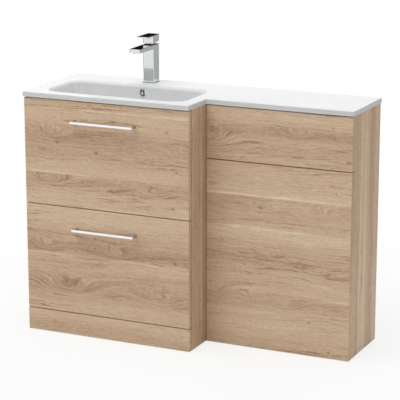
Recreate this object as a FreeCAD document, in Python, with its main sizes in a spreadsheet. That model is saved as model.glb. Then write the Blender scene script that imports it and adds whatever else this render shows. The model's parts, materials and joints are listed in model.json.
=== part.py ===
"""Basin vanity unit with two drawers, joined to a back-to-wall WC unit under one moulded basin top.

Millimetres. X runs along the wall to the right, Y points to the wall, Z is up.
The origin is on the floor, under the middle of the whole unit.
"""
import FreeCAD, Part
import math
import os
import re
import Sketcher

doc = FreeCAD.newDocument("vanity_unit")
sheet = doc.addObject("Spreadsheet::Sheet", "Sizes")

SIZES = {
    # Carcasses
    "vanity_width": 600,
    "wc_width": 500,
    "carcass_height": 800,
    "vanity_depth": 385,
    "wc_depth": 255,
    "board": 16,
    "front_board": 18,
    "back_board": 6,
    "back_panel_height": 360,
    "service_void": 60,
    "plinth_height": 77,
    "front_rail_height": 50,
    "rear_rail_height": 100,
    "wc_foot_rail_height": 80,
    "wc_middle_rail_height": 80,
    # Fronts
    "front_gap": 3,
    "front_reveal": 1,
    "upper_front_height": 354,
    "access_panel_height": 174,
    # Small carcass fittings
    "bumper_thickness": 1.5,
    "bumper_radius": 4,
    "bumper_drop": 20,
    "glide_height": 2,
    "glide_margin": 1,
    "glide_inset": 30,
    "wall_screw_radius": 4,
    "vanity_wall_screw_spacing": 400,
    "wc_wall_screw_spacing": 300,
    "connector_radius": 3,
    "connector_head_radius": 8,
    "connector_head": 2,
    "connector_from_wall": 40,
    "connector_low": 200,
    "connector_high": 600,
    "clip_stud_radius": 4,
    "clip_stud_length": 13,
    "clip_socket_wall": 3,
    "clip_spread": 320,
    # Basin top
    "top_thickness": 16,
    "top_overhang": 3,
    "top_corner_radius": 3,
    "top_edge_radius": 1.5,
    "bowl_end_rim": 50,
    "bowl_rear_ledge": 116,
    "bowl_front_clearance": 1.5,
    "bowl_wall": 10,
    "bowl_drop": 105,
    "bowl_corner_radius": 48,
    "bowl_end_slope": 26,
    "bowl_front_slope": 18,
    "bowl_floor_radius": 28,
    "bowl_rim_radius": 12,
    "overflow_drop": 28,
    "overflow_hole_radius": 12,
    "overflow_channel_width": 30,
    "overflow_channel_depth": 8,
    "overflow_channel_wall": 5,
    "overflow_ring_radius": 15,
    "overflow_ring_lip": 2.5,
    "overflow_ring_bevel": 1.8,
    "overflow_ring_spigot": 8,
    "overflow_ring_opening": 10.8,
    "overflow_button_radius": 4.5,
    "overflow_spoke": 1.6,
    # Waste
    "waste_hole_radius": 23,
    "waste_tube_radius": 21,
    "waste_tube_wall": 3.5,
    "waste_tube_length": 95,
    "waste_flange_radius": 32.5,
    "waste_flange": 3,
    "waste_seal": 2,
    "waste_backnut": 12,
    "waste_backnut_radius": 33,
    "plug_radius": 31,
    "plug_cap": 6,
    "plug_dome": 2,
    "plug_dome_width": 6,
    "plug_stem_radius": 5,
    "plug_stem_length": 42,
    "plug_fin": 3,
    "plug_fin_height": 15,
    # Bottle trap
    "trap_collar": 14,
    "trap_nut_wall": 6,
    "trap_nut_rise": 8,
    "trap_shell_radius": 30,
    "trap_shell_skirt": 4,
    "trap_wall": 3,
    "trap_tube_radius": 15.5,
    "trap_tube_dip": 25,
    "trap_cup_depth": 45,
    "trap_cup_overlap": 15,
    "trap_outlet_reach": 80,
    "trap_pipe_radius": 16,
    "trap_socket_depth": 25,
    "trap_outlet_nut": 20,
    "trap_outlet_lip": 4,
    # Tap
    "tap_from_wall": 49,
    "tap_width": 40,
    "tap_depth": 42,
    "tap_height": 127,
    "tap_edge_radius": 1.5,
    "tap_corner_radius": 3,
    "tap_gasket": 2,
    "tap_gasket_margin": 0.8,
    "tap_hole_radius": 17.5,
    "tap_inlet_spread": 16,
    "tap_inlet_offset": 6,
    "tap_inlet_radius": 4.5,
    "tap_inlet_depth": 20,
    "tap_passage_radius": 2,
    "tap_passage_offset": 2.4,
    "stud_radius": 4,
    "stud_offset": 11,
    "stud_grip": 16,
    "stud_drop": 45,
    "clamp_radius": 25,
    "clamp_pad": 3,
    "clamp_plate": 2.5,
    "stud_nut": 10,
    "stud_nut_radius": 7.5,
    "spout_reach": 100,
    "spout_tip": 12.5,
    "spout_fall": 1.5,
    "spout_bore_radius": 4,
    "aerator_radius": 10.7,
    "aerator_height": 7,
    "aerator_inset": 15,
    "aerator_drop": 2.5,
    "cartridge_radius": 17.6,
    "cartridge_height": 30,
    "cartridge_recess": 4,
    "cartridge_nut": 10.5,
    "chamber_depth": 43,
    "rotor_radius": 12,
    "rotor_height": 11,
    "rotor_slot_floor": 2.5,
    "pivot_height": 7,
    "trunnion_radius": 2,
    "spindle_width": 8.8,
    "spindle_depth": 8,
    "spindle_tail": 2.8,
    "spindle_top": 33,
    "lever_front_gap": 3,
    "lever_rear_gap": 9,
    "lever_block": 25,
    "lever_plate": 4.5,
    "lever_overhang": 45,
    "lever_hollow_radius": 12.5,
    "lever_hollow": 12,
    "lever_screw_radius": 2.5,
    "lever_screw_length": 14,
    # Handles
    "handle_length": 224,
    "handle_projection": 32,
    "handle_bar": 7,
    "handle_bar_depth": 8,
    "upper_handle_drop": 65,
    "lower_handle_drop": 69,
    "handle_screw_radius": 2,
    "handle_screw_grip": 10,
    "handle_screw_head_radius": 4,
    "handle_screw_head": 3,
    # Drawer boxes and runners
    "drawer_board": 12,
    "drawer_bottom": 8,
    "drawer_rear_clearance": 37,
    "upper_drawer_lift": 30,
    "upper_drawer_height": 150,
    "lower_drawer_lift": 30,
    "lower_drawer_height": 190,
    "trap_cutout_clearance": 25,
    "runner_width": 13,
    "runner_height": 45,
    "runner_sheet": 1.2,
    "runner_flange": 9,
    "runner_web_gap": 1.8,
    "runner_shortfall": 10,
    "runner_setback": 2,
    "runner_lift": 15,
    # Clearances between pieces
    "running_gap": 0.3,
    "ball_gap": 0.5,
    "thread_gap": 0.1,
}
for row, (alias, value) in enumerate(SIZES.items(), start=1):
    sheet.set(f"A{row}", alias)
    sheet.set(f"B{row}", str(value))
    sheet.setAlias(f"B{row}", alias)
doc.recompute()

# Places worked out from the driving sizes
LEFT = "(-(vanity_width + wc_width) / 2)"
RIGHT = "((vanity_width + wc_width) / 2)"
SEAM = f"({LEFT} + vanity_width)"
WALL = "((vanity_depth + handle_projection) / 2)"
VANITY_FACE = f"({WALL} - vanity_depth)"
VANITY_FRONT = f"({VANITY_FACE} + front_board + bumper_thickness)"
WC_FACE = f"({WALL} - wc_depth)"
WC_FRONT = f"({WC_FACE} + front_board)"
VANITY_INSIDE = "(vanity_width - 2 * board)"
WC_INSIDE = "(wc_width - 2 * board)"
WC_MIDDLE = f"({SEAM} + wc_width / 2)"
FRONT_TOP = "(carcass_height - front_gap)"
UPPER_FRONT_FLOOR = f"({FRONT_TOP} - upper_front_height)"
LOWER_FRONT_FLOOR = "(plinth_height + front_gap)"
LOWER_FRONT_TOP = f"({UPPER_FRONT_FLOOR} - front_gap)"
ACCESS_FLOOR = f"({FRONT_TOP} - access_panel_height)"
ACCESS_SPLIT = f"({ACCESS_FLOOR} - front_gap / 2)"
CLIP_HIGH = "(carcass_height - front_rail_height / 2)"
CLIP_LOW = f"({ACCESS_SPLIT} + wc_middle_rail_height / 4)"
CLIP_SOCKET = "(clip_stud_radius + running_gap + clip_socket_wall)"
CLIP_HOLE = f"({CLIP_SOCKET} + thread_gap)"

BOWL_X = f"({LEFT} + vanity_width / 2)"
BOWL_FRONT = f"({VANITY_FRONT} + board + bowl_front_clearance + bowl_wall)"
BOWL_BACK = f"({WALL} - bowl_rear_ledge)"
BOWL_Y = f"(({BOWL_FRONT} + {BOWL_BACK}) / 2)"
TOP_Z = "(carcass_height + top_thickness)"
BOWL_FLOOR = f"({TOP_Z} - bowl_drop)"
BOWL_UNDERSIDE = f"({BOWL_FLOOR} - bowl_wall)"
RIB_UNDERSIDE = f"({BOWL_UNDERSIDE} - overflow_channel_depth - overflow_channel_wall)"
OVERFLOW_Z = f"({TOP_Z} - overflow_drop)"

WASTE_TAIL = f"({BOWL_FLOOR} - waste_tube_length)"
COLLAR_TOP = f"({WASTE_TAIL} - waste_seal)"
SHELL_TOP = f"({COLLAR_TOP} - trap_collar)"
OUTLET_RADIUS = "(trap_pipe_radius + trap_wall)"
SHELL_FLOOR = f"({SHELL_TOP} - trap_wall - 2 * {OUTLET_RADIUS} - trap_shell_skirt - trap_cup_overlap)"
OUTLET_Z = f"({SHELL_TOP} - trap_wall - {OUTLET_RADIUS})"
CUP_RADIUS = "(trap_shell_radius + running_gap + trap_wall)"

TAP_X = BOWL_X
TAP_Y = f"({WALL} - tap_from_wall)"
TAP_Z = f"({TOP_Z} + tap_gasket)"
TAP_TOP = f"({TAP_Z} + tap_height)"
CHAMBER_FLOOR = f"({TAP_TOP} - chamber_depth)"
ROTOR_FLOOR = f"({CHAMBER_FLOOR} + cartridge_height - cartridge_recess + running_gap)"
PIVOT_Z = f"({ROTOR_FLOOR} + pivot_height)"
SPINDLE_TOP = f"({PIVOT_Z} + spindle_top)"
AERATOR_FLOOR = f"({TAP_TOP} - spout_fall - spout_tip - aerator_drop)"

UPPER_BOX_FLOOR = f"({UPPER_FRONT_FLOOR} + upper_drawer_lift)"
LOWER_BOX_FLOOR = f"({LOWER_FRONT_FLOOR} + lower_drawer_lift)"
BOX_LEFT = f"({LEFT} + board + runner_width)"
BOX_RIGHT = f"({SEAM} - board - runner_width)"
BOX_FRONT = f"({VANITY_FACE} + front_board)"
BOX_BACK = f"({WALL} - service_void - drawer_rear_clearance)"
DRAWER_LENGTH = f"({BOX_BACK} - {BOX_FRONT})"
RUNNER_LENGTH = f"({DRAWER_LENGTH} - runner_shortfall)"
CUTOUT_HALF = f"({CUP_RADIUS} + trap_cutout_clearance)"
CUTOUT_FRONT = f"({BOWL_Y} - {CUTOUT_HALF})"
RUNNER_MIDDLE_WEB = "(runner_sheet + runner_web_gap)"
RUNNER_DRAWER_WEB = "runner_width"
RUNNER_HALF = "(runner_height / 2)"
RUNNER_STEP = "(runner_sheet + ball_gap)"
HANDLE_SPACING = "(handle_length - handle_bar)"
UPPER_HANDLE_Z = f"({FRONT_TOP} - upper_handle_drop)"
LOWER_HANDLE_Z = f"({LOWER_FRONT_TOP} - lower_handle_drop)"

UP = FreeCAD.Rotation()
ALONG_X = FreeCAD.Rotation(FreeCAD.Vector(0, 1, 0), 90)
ALONG_Y = FreeCAD.Rotation(FreeCAD.Vector(1, 0, 0), -90)
SIDES = (("left", "-"), ("right", "+"))
SLACK = 1  # how far past a limit an edge may lie and still be picked
TOUCH = 0.001  # heights closer than this count as the same

nodes = []


def refer(formula):
    """Point each size named in a formula at its cell in the sheet."""
    def cell(match):
        word = match.group(0)
        return f"Sizes.{word}" if word in SIZES else word
    return re.sub(r"[a-z_]+", cell, formula)


def number(formula):
    return float(sheet.evalExpression(refer(formula)))


def bind(thing, **formulas):
    for path, formula in formulas.items():
        thing.setExpression(path, refer(formula))


def place(thing, corner, turn=UP):
    thing.Placement = FreeCAD.Placement(FreeCAD.Vector(*[number(part) for part in corner]), turn)
    for axis, formula in zip("xyz", corner):
        thing.setExpression(f"Placement.Base.{axis}", refer(formula))


def node(thing):
    """Mark an object as a sub-part that gets a file of its own."""
    nodes.append(thing)
    return thing


def box(name, size, corner):
    solid = doc.addObject("Part::Box", name)
    bind(solid, Length=size[0], Width=size[1], Height=size[2])
    place(solid, corner)
    return solid


def cylinder(name, radius, height, base, turn=UP):
    solid = doc.addObject("Part::Cylinder", name)
    bind(solid, Radius=radius, Height=height)
    place(solid, base, turn)
    return solid


def cone(name, low_radius, high_radius, height, base, turn=UP):
    solid = doc.addObject("Part::Cone", name)
    bind(solid, Radius1=low_radius, Radius2=high_radius, Height=height)
    place(solid, base, turn)
    return solid


def hexagon(name, radius, height, base):
    solid = doc.addObject("Part::Prism", name)
    solid.Polygon = 6
    bind(solid, Circumradius=radius, Height=height)
    place(solid, base)
    return solid


def fuse(name, pieces):
    solid = doc.addObject("Part::MultiFuse", name)
    solid.Shapes = pieces
    return solid


def cut(name, base, tools):
    solid = doc.addObject("Part::Cut", name)
    solid.Base = base
    solid.Tool = tools[0] if len(tools) == 1 else fuse(f"{name}_tools", tools)
    return solid


def group(name, pieces):
    """Keep identical pieces as separate solids in one sub-part."""
    compound = doc.addObject("Part::Compound", name)
    compound.Links = pieces
    return compound


def ring(name, outer, inner, height, base, turn=UP):
    return cut(name, cylinder(f"{name}_outside", outer, height, base, turn),
               [cylinder(f"{name}_bore", inner, height, base, turn)])


def new_body(name, origin=None):
    body = doc.addObject("PartDesign::Body", name)
    if origin:
        place(body, origin)
    return body


def sketch_on(body, role, name, offset="0"):
    plane = next(feature for feature in body.Origin.OriginFeatures if feature.Role == role)
    sketch = body.newObject("Sketcher::SketchObject", name)
    sketch.AttachmentSupport = (plane, [""])
    sketch.MapMode = "FlatFace"
    sketch.setExpression("AttachmentOffset.Base.z", refer(offset))
    return sketch


def drive(sketch, kind, first, point, formula):
    """Hold a point of the sketch at a bound distance from the sketch's origin."""
    index = sketch.addConstraint(Sketcher.Constraint(kind, -1, 1, first, point, number(formula)))
    sketch.setExpression(f"Constraints[{index}]", refer(formula))


def polygon(sketch, corners):
    """Draw a closed outline through corners given as pairs of formulas."""
    points = [FreeCAD.Vector(number(across), number(up), 0) for across, up in corners]
    count = len(points)
    for index, point in enumerate(points):
        sketch.addGeometry(Part.LineSegment(point, points[(index + 1) % count]))
    for index in range(count):
        sketch.addConstraint(Sketcher.Constraint("Coincident", index, 2, (index + 1) % count, 1))
    for index, (across, up) in enumerate(corners):
        drive(sketch, "DistanceX", index, 1, across)
        drive(sketch, "DistanceY", index, 1, up)


def rounded_rectangle(sketch, west, south, east, north, radius):
    x_low, y_low, x_high, y_high, bend = [number(side) for side in (west, south, east, north, radius)]
    lines = [((x_low + bend, y_low), (x_high - bend, y_low)),
             ((x_high, y_low + bend), (x_high, y_high - bend)),
             ((x_high - bend, y_high), (x_low + bend, y_high)),
             ((x_low, y_high - bend), (x_low, y_low + bend))]
    centres = [(x_high - bend, y_low + bend), (x_high - bend, y_high - bend),
               (x_low + bend, y_high - bend), (x_low + bend, y_low + bend)]
    for start, end in lines:
        sketch.addGeometry(Part.LineSegment(FreeCAD.Vector(*start, 0), FreeCAD.Vector(*end, 0)))
    for quarter, centre in enumerate(centres):
        circle = Part.Circle(FreeCAD.Vector(*centre, 0), FreeCAD.Vector(0, 0, 1), bend)
        start = (quarter - 1) * math.pi / 2
        sketch.addGeometry(Part.ArcOfCircle(circle, start, start + math.pi / 2))
    for side in range(4):
        sketch.addConstraint(Sketcher.Constraint("Tangent", side, 2, 4 + side, 1))
        sketch.addConstraint(Sketcher.Constraint("Tangent", 4 + side, 2, (side + 1) % 4, 1))
        sketch.addConstraint(Sketcher.Constraint("Vertical" if side % 2 else "Horizontal", side))
    for arc in (5, 6, 7):
        sketch.addConstraint(Sketcher.Constraint("Equal", 4, arc))
    index = sketch.addConstraint(Sketcher.Constraint("Radius", 4, bend))
    sketch.setExpression(f"Constraints[{index}]", refer(radius))
    drive(sketch, "DistanceY", 0, 1, south)
    drive(sketch, "DistanceX", 1, 1, east)
    drive(sketch, "DistanceY", 2, 1, north)
    drive(sketch, "DistanceX", 3, 1, west)


def pad(body, name, sketch, length, middle=False, reverse=False):
    feature = body.newObject("PartDesign::Pad", name)
    feature.Profile = sketch
    feature.SideType = "Symmetric" if middle else "One side"
    feature.Reversed = reverse
    bind(feature, Length=length)
    return feature


def revolve(body, name, sketch):
    feature = body.newObject("PartDesign::Revolution", name)
    feature.Profile = sketch
    feature.ReferenceAxis = (sketch, ["V_Axis"])
    feature.Angle = 360
    return feature


def fillet(body, name, radius, wanted):
    """Round the edges of the body that the test picks out."""
    doc.recompute()
    base = body.Tip
    edges = [f"Edge{index}" for index, edge in enumerate(base.Shape.Edges, start=1) if wanted(edge)]
    feature = body.newObject("PartDesign::Fillet", name)
    feature.Base = (base, edges)
    bind(feature, Radius=radius)
    return feature


def lies_level(edge, height):
    """True for an edge that lies whole at this height."""
    return abs(edge.BoundBox.ZMin - height) < TOUCH and abs(edge.BoundBox.ZMax - height) < TOUCH


# Vanity carcass
def vanity_carcass():
    side = ("board", f"{WALL} - {VANITY_FRONT}", "carcass_height - glide_height")
    node(box("vanity_left_side", side, (LEFT, VANITY_FRONT, "glide_height")))
    right_board = box("vanity_right_board", side, (f"{SEAM} - board", VANITY_FRONT, "glide_height"))
    node(cut("vanity_right_side", right_board, connector_holes("vanity", f"{SEAM} - board")))
    inside = f"{LEFT} + board"
    node(box("vanity_bottom", (VANITY_INSIDE, f"{WALL} - {VANITY_FRONT} - service_void", "board"),
             (inside, VANITY_FRONT, "plinth_height - board")))
    node(box("vanity_plinth", ("vanity_width", "front_board", "plinth_height - glide_height"),
             (LEFT, f"{VANITY_FRONT} - front_board", "glide_height")))
    node(box("vanity_front_rail", (VANITY_INSIDE, "board", "front_rail_height"),
             (inside, VANITY_FRONT, "carcass_height - front_rail_height")))
    node(rear_rail("vanity_rear_rail", inside, VANITY_INSIDE, BOWL_X, "vanity_wall_screw_spacing"))
    node(box("vanity_back_panel", (VANITY_INSIDE, "back_board", "back_panel_height"),
             (inside, f"{WALL} - service_void", "plinth_height - board")))


def rear_rail(name, inside, length, middle, spacing):
    """A rail against the wall, with two holes for wall screws."""
    floor = "carcass_height - rear_rail_height"
    hole_z = f"{floor} + rear_rail_height / 2"
    rail = box(f"{name}_board", (length, "board", "rear_rail_height"), (inside, f"{WALL} - board", floor))
    holes = [cylinder(f"{name}_hole_{side}", "wall_screw_radius", "board",
                      (f"{middle} {sign} {spacing} / 2", f"{WALL} - board", hole_z), ALONG_Y)
             for side, sign in SIDES]
    return cut(name, rail, holes)


def connector_holes(unit, start):
    return [cylinder(f"{unit}_connector_hole_{height}", "connector_radius + thread_gap", "board",
                     (start, f"{WALL} - connector_from_wall", height), ALONG_X)
            for height in ("connector_low", "connector_high")]


# WC unit carcass and its fixed panel
def wc_carcass():
    side = ("board", f"{WALL} - {WC_FRONT}", "carcass_height - glide_height")
    left_board = box("wc_left_board", side, (SEAM, WC_FRONT, "glide_height"))
    node(cut("wc_left_side", left_board, connector_holes("wc", SEAM)))
    node(box("wc_right_side", side, (f"{RIGHT} - board", WC_FRONT, "glide_height")))
    inside = f"{SEAM} + board"
    top_rail = box("wc_top_rail_board", (WC_INSIDE, "board", "front_rail_height"),
                   (inside, WC_FRONT, "carcass_height - front_rail_height"))
    node(cut("wc_front_top_rail", top_rail, clip_cylinders("top_clip_hole", CLIP_HOLE, "board", CLIP_HIGH)))
    middle_rail = box("wc_middle_rail_board", (WC_INSIDE, "board", "wc_middle_rail_height"),
                      (inside, WC_FRONT, f"{ACCESS_SPLIT} - wc_middle_rail_height / 2"))
    node(cut("wc_middle_rail", middle_rail, clip_cylinders("middle_clip_hole", CLIP_HOLE, "board", CLIP_LOW)))
    node(box("wc_foot_rail", (WC_INSIDE, "board", "wc_foot_rail_height"), (inside, WC_FRONT, "glide_height")))
    node(rear_rail("wc_rear_rail", inside, WC_INSIDE, WC_MIDDLE, "wc_wall_screw_spacing"))
    node(box("wc_lower_panel",
             ("wc_width - front_reveal", "front_board", f"{ACCESS_FLOOR} - front_gap - glide_height"),
             (f"{SEAM} + front_reveal", WC_FACE, "glide_height")))


def clip_cylinders(name, radius, length, height):
    """The pair of cylinders along Y, behind the panels, where two clips sit at one height."""
    return [cylinder(f"{name}_{side}", radius, length,
                     (f"{WC_MIDDLE} {sign} clip_spread / 2", WC_FRONT, height), ALONG_Y)
            for side, sign in SIDES]


# Access panel on push-in clips
def access_panel():
    node(box("wc_access_panel", ("wc_width - front_reveal", "front_board", "access_panel_height"),
             (f"{SEAM} + front_reveal", WC_FACE, ACCESS_FLOOR)))
    studs = []
    sockets = []
    for row_name, height in (("high", CLIP_HIGH), ("low", CLIP_LOW)):
        studs += clip_cylinders(f"clip_stud_{row_name}", "clip_stud_radius", "clip_stud_length", height)
        outsides = clip_cylinders(f"clip_socket_{row_name}", CLIP_SOCKET, "board", height)
        bores = clip_cylinders(f"clip_bore_{row_name}", "clip_stud_radius + running_gap", "board", height)
        sockets += [cut(f"{outside.Name}_ring", outside, [bore]) for outside, bore in zip(outsides, bores)]
    node(group("access_panel_clip_studs", studs))
    node(group("access_panel_clip_sockets", sockets))


# Small fittings of the carcasses
def carcass_fittings():
    glides = []
    for unit, middle, front in (("vanity_left", f"{LEFT} + board / 2", VANITY_FRONT),
                                ("vanity_right", f"{SEAM} - board / 2", VANITY_FRONT),
                                ("wc_left", f"{SEAM} + board / 2", WC_FRONT),
                                ("wc_right", f"{RIGHT} - board / 2", WC_FRONT)):
        for end, place_along in (("front", f"{front} + glide_inset"), ("back", f"{WALL} - glide_inset")):
            glides.append(cylinder(f"glide_{unit}_{end}", "board / 2 - glide_margin", "glide_height",
                                   (middle, place_along, "0")))
    node(group("floor_glides", glides))

    bumpers = []
    for side, middle in (("left", f"{LEFT} + board / 2"), ("right", f"{SEAM} - board / 2")):
        for drawer, top in (("upper", FRONT_TOP), ("lower", LOWER_FRONT_TOP)):
            bumpers.append(cylinder(f"bumper_{drawer}_{side}", "bumper_radius", "bumper_thickness",
                                    (middle, BOX_FRONT, f"{top} - bumper_drop"), ALONG_Y))
    node(group("drawer_bumpers", bumpers))

    connectors = []
    across = f"{WALL} - connector_from_wall"
    for height in ("connector_low", "connector_high"):
        shank = cylinder(f"{height}_shank", "connector_radius", "2 * board",
                         (f"{SEAM} - board", across, height), ALONG_X)
        head = cylinder(f"{height}_head", "connector_head_radius", "connector_head",
                        (f"{SEAM} - board - connector_head", across, height), ALONG_X)
        sleeve = cylinder(f"{height}_sleeve", "connector_head_radius", "connector_head",
                          (f"{SEAM} + board", across, height), ALONG_X)
        connectors.append(fuse(f"{height}_bolt", [shank, head, sleeve]))
    node(group("unit_connectors", connectors))


# Moulded basin top
def bowl_section(body, name, height, slope, grow):
    """A level outline of the bowl: slope 0 at the rim and 1 at the floor, grown by the wall outside."""
    sketch = sketch_on(body, "XY_Plane", name, height)
    rounded_rectangle(sketch,
                      f"{LEFT} + bowl_end_rim + {slope} * bowl_end_slope - {grow}",
                      f"{BOWL_FRONT} + {slope} * bowl_front_slope - {grow}",
                      f"{SEAM} - bowl_end_rim - {slope} * bowl_end_slope + {grow}",
                      f"{BOWL_BACK} + {grow}",
                      f"bowl_corner_radius + {grow}")
    return sketch


def loft(body, kind, name, sketches):
    feature = body.newObject(f"PartDesign::{kind}", name)
    feature.Profile = sketches[0]
    feature.Sections = sketches[1:]
    feature.Ruled = True
    return feature


def moulding():
    body = new_body("basin_moulding")
    outline = sketch_on(body, "XY_Plane", "top_outline", "carcass_height")
    west = f"{LEFT} - top_overhang"
    east = f"{RIGHT} + top_overhang"
    vanity_edge = f"{VANITY_FACE} - top_overhang"
    wc_edge = f"{WC_FACE} - top_overhang"
    polygon(outline, [(west, WALL), (west, vanity_edge), (SEAM, vanity_edge),
                      (SEAM, wc_edge), (east, wc_edge), (east, WALL)])
    pad(body, "top_slab", outline, "top_thickness")
    top = number(TOP_Z)
    wall = number(WALL)

    def front_corner(edge):
        bounds = edge.BoundBox
        return bounds.ZLength > number("top_thickness") / 2 and bounds.YMax < wall - SLACK

    def top_border(edge):
        return lies_level(edge, top) and edge.BoundBox.YMin < wall - SLACK

    fillet(body, "top_corners", "top_corner_radius", front_corner)
    fillet(body, "top_edges", "top_edge_radius", top_border)
    loft(body, "AdditiveLoft", "bowl_outside",
         [bowl_section(body, "outside_rim", "carcass_height", 0, "bowl_wall"),
          bowl_section(body, "outside_floor", BOWL_UNDERSIDE, 1, "bowl_wall")])
    loft(body, "SubtractiveLoft", "bowl_inside",
         [bowl_section(body, "inside_rim", TOP_Z, 0, "0"),
          bowl_section(body, "inside_floor", BOWL_FLOOR, 1, "0")])
    fillet(body, "bowl_floor_edges", "bowl_floor_radius", lambda edge: lies_level(edge, number(BOWL_FLOOR)))
    rim_left = number(f"{LEFT} + bowl_end_rim") - SLACK
    rim_right = number(f"{SEAM} - bowl_end_rim") + SLACK
    rim_front = number(BOWL_FRONT) - SLACK
    rim_back = number(BOWL_BACK) + SLACK

    def bowl_rim(edge):
        bounds = edge.BoundBox
        return (lies_level(edge, top) and bounds.XMin > rim_left and bounds.XMax < rim_right
                and bounds.YMin > rim_front and bounds.YMax < rim_back)

    fillet(body, "bowl_rim_edges", "bowl_rim_radius", bowl_rim)
    return body


def basin_top():
    rib_width = "(overflow_channel_width + 2 * overflow_channel_wall)"
    rib_left = f"{BOWL_X} - {rib_width} / 2"
    rib_back = f"({BOWL_BACK} + bowl_wall + overflow_channel_depth + overflow_channel_wall)"
    inside_wall = f"({BOWL_BACK} + bowl_wall / 2)"
    rear_rib = box("overflow_rear_rib",
                   (rib_width, f"{rib_back} - {inside_wall}", f"carcass_height - {RIB_UNDERSIDE}"),
                   (rib_left, inside_wall, RIB_UNDERSIDE))
    rib_height = "(overflow_channel_depth + overflow_channel_wall + bowl_wall / 2)"
    floor_rib = box("overflow_floor_rib", (rib_width, f"{rib_back} - {BOWL_Y}", rib_height),
                    (rib_left, BOWL_Y, RIB_UNDERSIDE))
    boss = cylinder("waste_boss", "waste_flange_radius", rib_height, (BOWL_X, BOWL_Y, RIB_UNDERSIDE))
    blank = fuse("basin_blank", [moulding(), rear_rib, floor_rib, boss])

    channel_left = f"{BOWL_X} - overflow_channel_width / 2"
    channel_floor = f"{BOWL_UNDERSIDE} - overflow_channel_depth"
    down = box("overflow_down_channel",
               ("overflow_channel_width", "overflow_channel_depth",
                f"{OVERFLOW_Z} + overflow_hole_radius - ({channel_floor})"),
               (channel_left, f"{BOWL_BACK} + bowl_wall", channel_floor))
    along = box("overflow_floor_channel",
                ("overflow_channel_width", f"{BOWL_BACK} + bowl_wall + overflow_channel_depth - {BOWL_Y}",
                 "overflow_channel_depth"),
                (channel_left, BOWL_Y, channel_floor))
    overflow = cylinder("overflow_hole", "overflow_hole_radius", "2 * bowl_wall + overflow_channel_depth / 2",
                        (BOWL_X, f"{BOWL_BACK} - bowl_wall", OVERFLOW_Z), ALONG_Y)
    waste = cylinder("waste_hole", "waste_hole_radius", f"{BOWL_FLOOR} + bowl_wall - {RIB_UNDERSIDE}",
                     (BOWL_X, BOWL_Y, RIB_UNDERSIDE))
    tap = cylinder("tap_hole", "tap_hole_radius", "top_thickness", (TAP_X, TAP_Y, "carcass_height"))
    node(cut("basin_top", blank, [down, along, overflow, waste, tap]))


def overflow_ring():
    front = (BOWL_X, f"{BOWL_BACK} - overflow_ring_lip", OVERFLOW_Z)
    depth = "overflow_ring_lip + overflow_ring_spigot"
    lip = cone("overflow_lip", "overflow_ring_radius - overflow_ring_bevel", "overflow_ring_radius",
               "overflow_ring_lip", front, ALONG_Y)
    spigot = cylinder("overflow_spigot", "overflow_hole_radius - thread_gap", depth, front, ALONG_Y)
    opening = cylinder("overflow_opening", "overflow_ring_opening", depth, front, ALONG_Y)
    funnel = cone("overflow_funnel", "overflow_ring_opening + overflow_ring_bevel", "overflow_ring_opening",
                  "overflow_ring_lip", front, ALONG_Y)
    hollow = cut("overflow_hollow_ring", fuse("overflow_solid_ring", [lip, spigot]), [opening, funnel])
    button = cylinder("overflow_button", "overflow_button_radius", "overflow_ring_lip", front, ALONG_Y)
    reach = "2 * overflow_ring_opening + overflow_spoke"
    level = box("overflow_level_spoke", (reach, "overflow_spoke", "overflow_spoke"),
                (f"{BOWL_X} - ({reach}) / 2", BOWL_BACK, f"{OVERFLOW_Z} - overflow_spoke / 2"))
    upright = box("overflow_upright_spoke", ("overflow_spoke", "overflow_spoke", reach),
                  (f"{BOWL_X} - overflow_spoke / 2", BOWL_BACK, f"{OVERFLOW_Z} - ({reach}) / 2"))
    node(fuse("overflow_ring", [hollow, button, level, upright]))


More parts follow.
